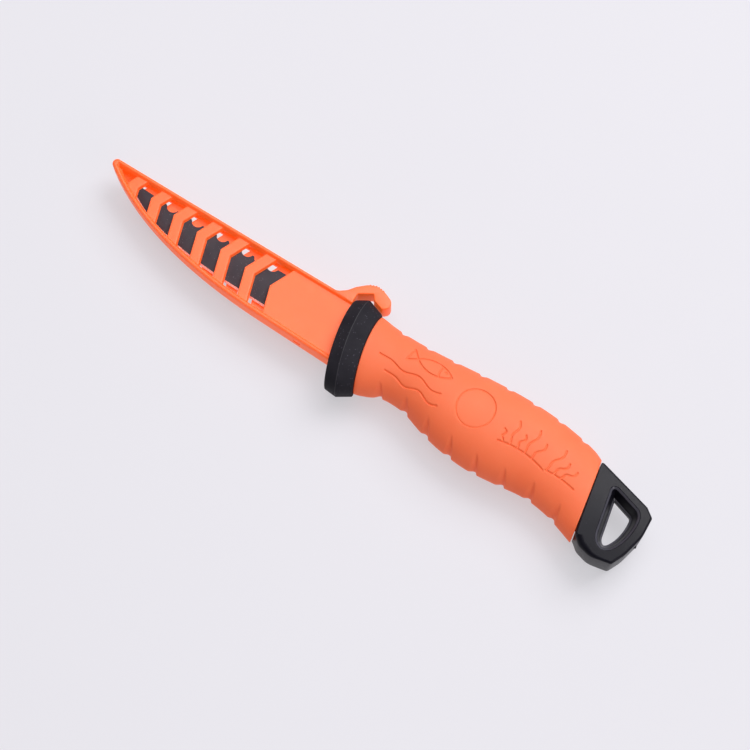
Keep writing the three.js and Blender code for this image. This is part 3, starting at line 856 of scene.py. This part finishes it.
def sheath_rails():
    """Matching points of the rim's outer line and its inner line, from the mouth round the tip and back."""
    turn = np.linspace(math.pi / 2, math.pi * 1.28, 22)
    ray = np.stack([np.cos(turn), np.sin(turn)], axis=1)[1:]
    tip = TIP_CENTRE + TIP_RADIUS * ray
    tip_top = (TIP_CENTRE[0], TIP_CENTRE[1] + TIP_RADIUS)
    spine = straight((mouth_x(0.9), 0.87), tip_top, 110)
    belly = bezier(tip[-1], (-94.5, -12.2), (-69, -21.5), HEEL_START, 130)[1:]
    drain = DRAIN_X + np.array([-1, -1, 1, 1]) * DRAIN_HALF + [-0.05, 0, 0, 0.05]
    xs = np.concatenate([np.linspace(-29, -11, 12), drain, np.linspace(-6, mouth_x(-24.8), 10)])
    heel = np.stack([xs, HEEL_START[1] - (xs - HEEL_START[0]) * HEEL_FALL / HEEL_RUN], axis=1)
    outer = np.concatenate([spine, tip, belly, heel])
    roof = straight((mouth_x(ROOF_END[1]), ROOF_END[1]), PANEL_CORNER, 110)
    around = PANEL_CORNER + CORNER_RADIUS * ray
    floor = bezier(*FLOOR_CURVE, 130)[1:]
    sill_x = xs.copy()
    sill_x[-1] = mouth_x(-22.2)
    sill = np.stack([sill_x, sill_y(sill_x)], axis=1)
    inner = np.concatenate([roof, around, floor, sill])
    return outer, inner


def taper(x):
    """How thick the sheath is at x, as a share of its thickness at the mouth."""
    return 1 - SHEATH_TAPER * np.clip(-x / SHEATH_LENGTH, 0, 1)


# The rim's section, as (share of the way from its outer line to its inner line, height). It ends with the
# narrow groove that the blade's edge lies in.
RIM_PROFILE = [
    (0.02, 0.015), (0.0, 0.08), (0.0, 2.2), (0.005, 3.2), (0.03, 3.75), (0.09, 4.2), (0.18, 4.52),
    (0.29, 4.67), (0.4, SHEATH_HALF), (0.5, 4.69), (0.58, 4.6), (0.63, 4.42), (0.68, 4.15), (0.75, 3.85),
    (0.88, 3.3), (0.97, 2.2), (1.0, 1.7), (1.0, 0.5), (0.66, 0.4), (0.66, 0.015)]


def rim(surface, side):
    """Half of the rim: a rounded bead, a drafted wall down to the panel, and a drain slot near the mouth."""
    outer, inner = sheath_rails()
    drain = (np.abs(outer[:, 0] - DRAIN_X) < DRAIN_HALF + 0.01) & (outer[:, 1] < -20)
    rows = []
    for share, height in RIM_PROFILE:
        flat = outer + (inner - outer) * share
        z = np.where(drain, max(height, DRAIN_HEIGHT), height)
        rows.append(at_height(flat, z * side * taper(flat[:, 0])))
    loop = np.stack(rows, axis=1)
    surface.grid(loop, wrap=True)
    surface.cap(loop[0])
    surface.cap(loop[-1])


def window_x(i):
    """Where window i starts on the panel's upper line; the windows get narrower towards the tip."""
    return WINDOW_START - WINDOW_PITCH * i + WINDOW_LOSS * i * (i - 1) / 2


def knee_y(x):
    """The height at which the chevron edges bend."""
    return KNEE[0] - KNEE[1] * x


def chevron(x, y):
    """The chevron edge that starts at x on the panel's upper line, at heights y."""
    knee = knee_y(x)
    bend = x - CHEVRON[0] * (CHEVRON_TOP - knee)
    return np.where(y > knee, x - CHEVRON[0] * (CHEVRON_TOP - y), bend + CHEVRON[1] * (knee - y))


def panel_roof(x):
    """The rim's inner line on the spine side."""
    (x0, y0), (x1, y1) = PANEL_CORNER, ROOF_END
    return y0 + (x - x0) * (y1 - y0) / (x1 - x0)


def panel_floor(x):
    """The rim's inner line on the edge side."""
    curve = bezier(*FLOOR_CURVE, 60)
    curved = np.interp(x, curve[:, 0], curve[:, 1])
    return np.where(x < FLOOR_END[0], curved, sill_y(np.minimum(x, FLOOR_END[0] + SILL_RUN)))


BAR_TUCK = 0.35  # how far the bars run into the rim
KNEE_REACH = 0.35  # how far from the knee its extra rows lie


def strip_rows(edge, knee, upper=9, lower=9):
    """Heights across the panel along one edge line, with rows close together at the knee."""
    y_top, y_bottom = -0.5, -20.0
    for _ in range(12):  # the edge leans, so its ends are found in a few rounds
        y_top = panel_roof(edge(y_top)) + BAR_TUCK
        y_bottom = panel_floor(edge(y_bottom)) - BAR_TUCK
    middle = min(max(knee, y_bottom + 0.02), y_top - 0.02)
    inside = y_bottom + 1 < middle < y_top - 1
    near = middle + KNEE_REACH * np.linspace(1, -1, 5) if inside else [middle]
    return np.concatenate([np.linspace(y_top, near[0], upper)[:-1], near,
                           np.linspace(near[-1], y_bottom, lower)[1:]])


# The section of a bar's edge, as (how far into the bar, height).
BAR_EDGE = [(0.0, PANEL_UNDER), (0.0, 3.0), (0.03, 3.17), (0.1, 3.27), (0.22, PANEL_TOP)]
BAR_DRAFT = 0.4  # how far the wall towards the butt runs out on the bar's underside


def strip(surface, left, right, knee, side, steps=6):
    """A bar of the panel between two edge lines, with crisp edges and a drafted wall towards the butt."""
    rows = [strip_rows(line, knee) for line in (left, right)]
    count = max(len(row) for row in rows)
    shares = np.linspace(0, 1, count)
    rows = [row if len(row) == count else np.interp(shares, np.linspace(0, 1, len(row)), row)
            for row in rows]
    a = np.stack([[left(y), y] for y in rows[0]])
    b = np.stack([[right(y), y] for y in rows[1]])
    length = np.maximum(np.linalg.norm(b - a, axis=1, keepdims=True), 0.1)
    along = (b - a) / length
    start, top = BAR_EDGE[-1]
    section = [(a + along * dx, z) for dx, z in BAR_EDGE]
    for k in range(1, steps):
        section.append((a + along * (start + (length - 2 * start) * k / steps), top))
    for dx, z in BAR_EDGE[::-1]:
        draft = BAR_DRAFT if z == PANEL_UNDER else 0
        section.append((b - along * (dx - draft), z))
    loop = np.stack([at_height(flat, z * side * taper(flat[:, 0])) for flat, z in section], axis=1)
    surface.grid(loop, wrap=True)
    surface.cap(loop[0])
    surface.cap(loop[-1])


def ledge(surface, side):
    """A narrow shelf along the back panel's upper line, which closes the tops of its windows."""
    x = np.linspace(window_x(WINDOWS), mouth_x(-1.5), 80)
    corners = [(0.3, PANEL_UNDER), (0.3, PANEL_TOP), (-BACK_LEDGE, PANEL_TOP), (-BACK_LEDGE, PANEL_UNDER)]
    rows = [np.stack([x, panel_roof(x) + dy, z * side * taper(x)], axis=1) for dy, z in corners]
    loop = np.stack(rows, axis=1)
    surface.grid(loop, wrap=True)
    surface.cap(loop[0])
    surface.cap(loop[-1])


def panel(surface, side, shift, width):
    """The bars between the windows and the plain field at the mouth."""
    for i in range(WINDOWS):
        left = window_x(i + 1) - shift
        right = left + width
        knee = knee_y((left + right) / 2)
        strip(surface, lambda y: chevron(left, y), lambda y: chevron(right, y), knee, side)
    start = window_x(0) - shift
    strip(surface, lambda y: chevron(start, y), mouth_x, knee_y(start), side, steps=40)


def sheath_half(name, side, stands_for, orange):
    """One shell of the sheath; the back one's bars lie further along, so that the windows are staggered."""
    surface = Surface()
    rim(surface, side)
    if side > 0:
        panel(surface, side, 0, BAR_WIDTH)
    else:
        panel(surface, side, BACK_SHIFT * WINDOW_PITCH, BACK_BAR_WIDTH)
        ledge(surface, side)
        end = window_x(WINDOWS) - 2
        strip(surface, lambda y: PANEL_CORNER[0] + 0.2, lambda y: chevron(end, y), knee_y(end), side)
    make(surface, name, [orange], "sheath", [stands_for], 35)


# --- latch --------------------------------------------------------------------------------------------

LATCH_OUTLINE = [
    (-8.6, -0.35, 0.2), (1.25, -0.35, 0.2), (1.3, 3.75, 0.4), (6.45, 6.95, 0.4), (8.1, 4.75, 0.7),
    (12.5, 3.2, 1.2), (14.7, 5.0, 2.3), (14.3, 8.0, 3.0), (10.2, 9.75, 4), (6.2, 10.35, 2.6), (2.6, 9.0, 2.6),
    (-0.9, 5.9, 4.0), (-2.9, 3.2, 4.5), (-6.0, 0.9, 4.5), (-8.6, 0.6, 0.2)]
# The latch's edge from the middle plane to its face, as (how far inside LATCH_OUTLINE, height).
LATCH_PROFILE = [(0.0, 0.0), (0.0, 4.0), (0.03, 4.24), (0.1, 4.46), (0.2, 4.6), (0.32, 4.66), (0.42, 4.68)]
LATCH_BEND = ((-3.2, 2.8, 0), (3.4, 6.8, 0))  # where the arm starts to bend and where it is stiff again
RIB_HEIGHT = 0.42
RIB_PITCH = 1.1
RIB_START = 3
RIB_DEPTH = 0.3  # how far inside the outline the ribs fade out


def latch(orange):
    """The latch and the gusset it springs from, as one moulding with thumb ribs along its crown."""
    outline = resampled(rounded(LATCH_OUTLINE, 0.2), 0.2)
    x, y = outline.T
    crown = smoothstep(2.9, 3.5, x) * smoothstep(10.1, 9.3, x) * (y > 8.0)
    ribs = RIB_HEIGHT * crown * np.abs(np.sin(math.pi * (x - RIB_START) / RIB_PITCH))
    rings = [at_height(inset(outline, distance - ribs * max(0, 1 - distance / RIB_DEPTH)), z)
             for distance, z in LATCH_PROFILE]
    whole = np.stack([ring * [1, 1, -1] for ring in rings[:0:-1]] + rings)
    surface = Surface()
    surface.grid(whole, wrap=True)
    surface.cap(whole[0])
    surface.cap(whole[-1])
    start, end = ((np.array(point) + KNIFE_ORIGIN) / 1000 for point in LATCH_BEND)
    make(surface, "latch_spring", [orange], ("sheath", "latch", start, end), ["latch_arm"], 40)


# --- stage --------------------------------------------------------------------------------------------

TABLE_HALF = 3
TABLE_CELLS = 11
WALL_RADIUS = 2.9
WALL_HEIGHT = 4
WALL_SIDES = 64
LENS = 92.556
EYE = (0.12192, -0.18832, 0.71773)
LOOK_AT = (0.00605, -0.00216, 0.0005)
BACKGROUND = (0.93, 0.92, 0.96, 1)
BACKGROUND_STRENGTH = 0.18


def staged(name, points, faces, material):
    """An object that belongs to the set and not to the knife, in metres."""
    mesh = bpy.data.meshes.new(name)
    mesh.from_pydata(points, [], faces)
    mesh.materials.append(material)
    item = bpy.data.objects.new(name, mesh)
    bpy.context.scene.collection.objects.link(item)
    return item


def floor():
    """A pale table, and a wall of the same far round it that only the camera sees."""
    pale = table_top()
    line = np.linspace(-TABLE_HALF, TABLE_HALF, TABLE_CELLS + 1)
    points = [(x, y, 0) for x in line for y in line]
    corners = [i * len(line) + j for i in range(TABLE_CELLS) for j in range(TABLE_CELLS)]
    faces = [(k, k + len(line), k + len(line) + 1, k + 1) for k in corners]
    staged("table", points, faces, pale)
    around = np.linspace(0, 2 * math.pi, WALL_SIDES, endpoint=False)
    points = [(WALL_RADIUS * math.cos(a), WALL_RADIUS * math.sin(a), z)
              for a in around for z in (-0.01, WALL_HEIGHT)]
    count = len(points)
    faces = [(k, (k + 2) % count, (k + 3) % count, k + 1) for k in range(0, count, 2)]
    wall = staged("wall", points, faces, pale)
    wall.visible_diffuse = False
    wall.visible_glossy = False
    wall.visible_shadow = False


def aim(thing, place, target):
    """Puts a light or the camera in its place, turned to the target."""
    thing.location = place
    thing.rotation_euler = (Vector(target) - Vector(place)).to_track_quat("-Z", "Y").to_euler()


def softbox(name, place, size, power, colour):
    data = bpy.data.lights.new(name, "AREA")
    data.shape = "RECTANGLE"
    data.size, data.size_y = size
    data.energy = power
    data.color = colour
    light = bpy.data.objects.new(name, data)
    bpy.context.scene.collection.objects.link(light)
    aim(light, place, (0, 0, 0))


def lighting():
    softbox("key", (0.35, 1.2, 1.6), (1.3, 1.3), 30, (1.0, 0.985, 0.99))
    softbox("top", (0.05, 0.5, 2.05), (1.8, 1.8), 29, (0.99, 0.985, 1.0))
    softbox("side", (1.6, -0.5, 0.7), (0.9, 0.5), 5, (1.0, 0.99, 1.0))
    world = bpy.data.worlds.new("studio")
    bpy.context.scene.world = world
    world.use_nodes = True
    background = world.node_tree.nodes["Background"]
    background.inputs["Color"].default_value = BACKGROUND
    background.inputs["Strength"].default_value = BACKGROUND_STRENGTH


def camera():
    data = bpy.data.cameras.new("camera")
    data.sensor_width = 36
    data.lens = LENS
    eye = bpy.data.objects.new("camera", data)
    bpy.context.scene.collection.objects.link(eye)
    aim(eye, EYE, LOOK_AT)
    bpy.context.scene.camera = eye


# --- the whole scene ----------------------------------------------------------------------------------

camera()
lighting()
floor()
orange = hard_orange()
blade()
grip()
guard()
butt_cap()
sheath_half("sheath_front", 1, "sheath_front_shell", orange)
sheath_half("sheath_back", -1, "sheath_back_shell", orange)
latch(orange)

# The core and the rivets inside the handle have no piece of their own, so their CAD objects get materials.
core = hidden_core()
rivet = ground_steel()
for node, cad in frame["nodes"].items():
    if not cad.hide_render:
        cad.data.materials.clear()
        cad.data.materials.append(rivet if "rivet" in node else core)
bpy.context.scene.view_settings.view_transform = "Standard"
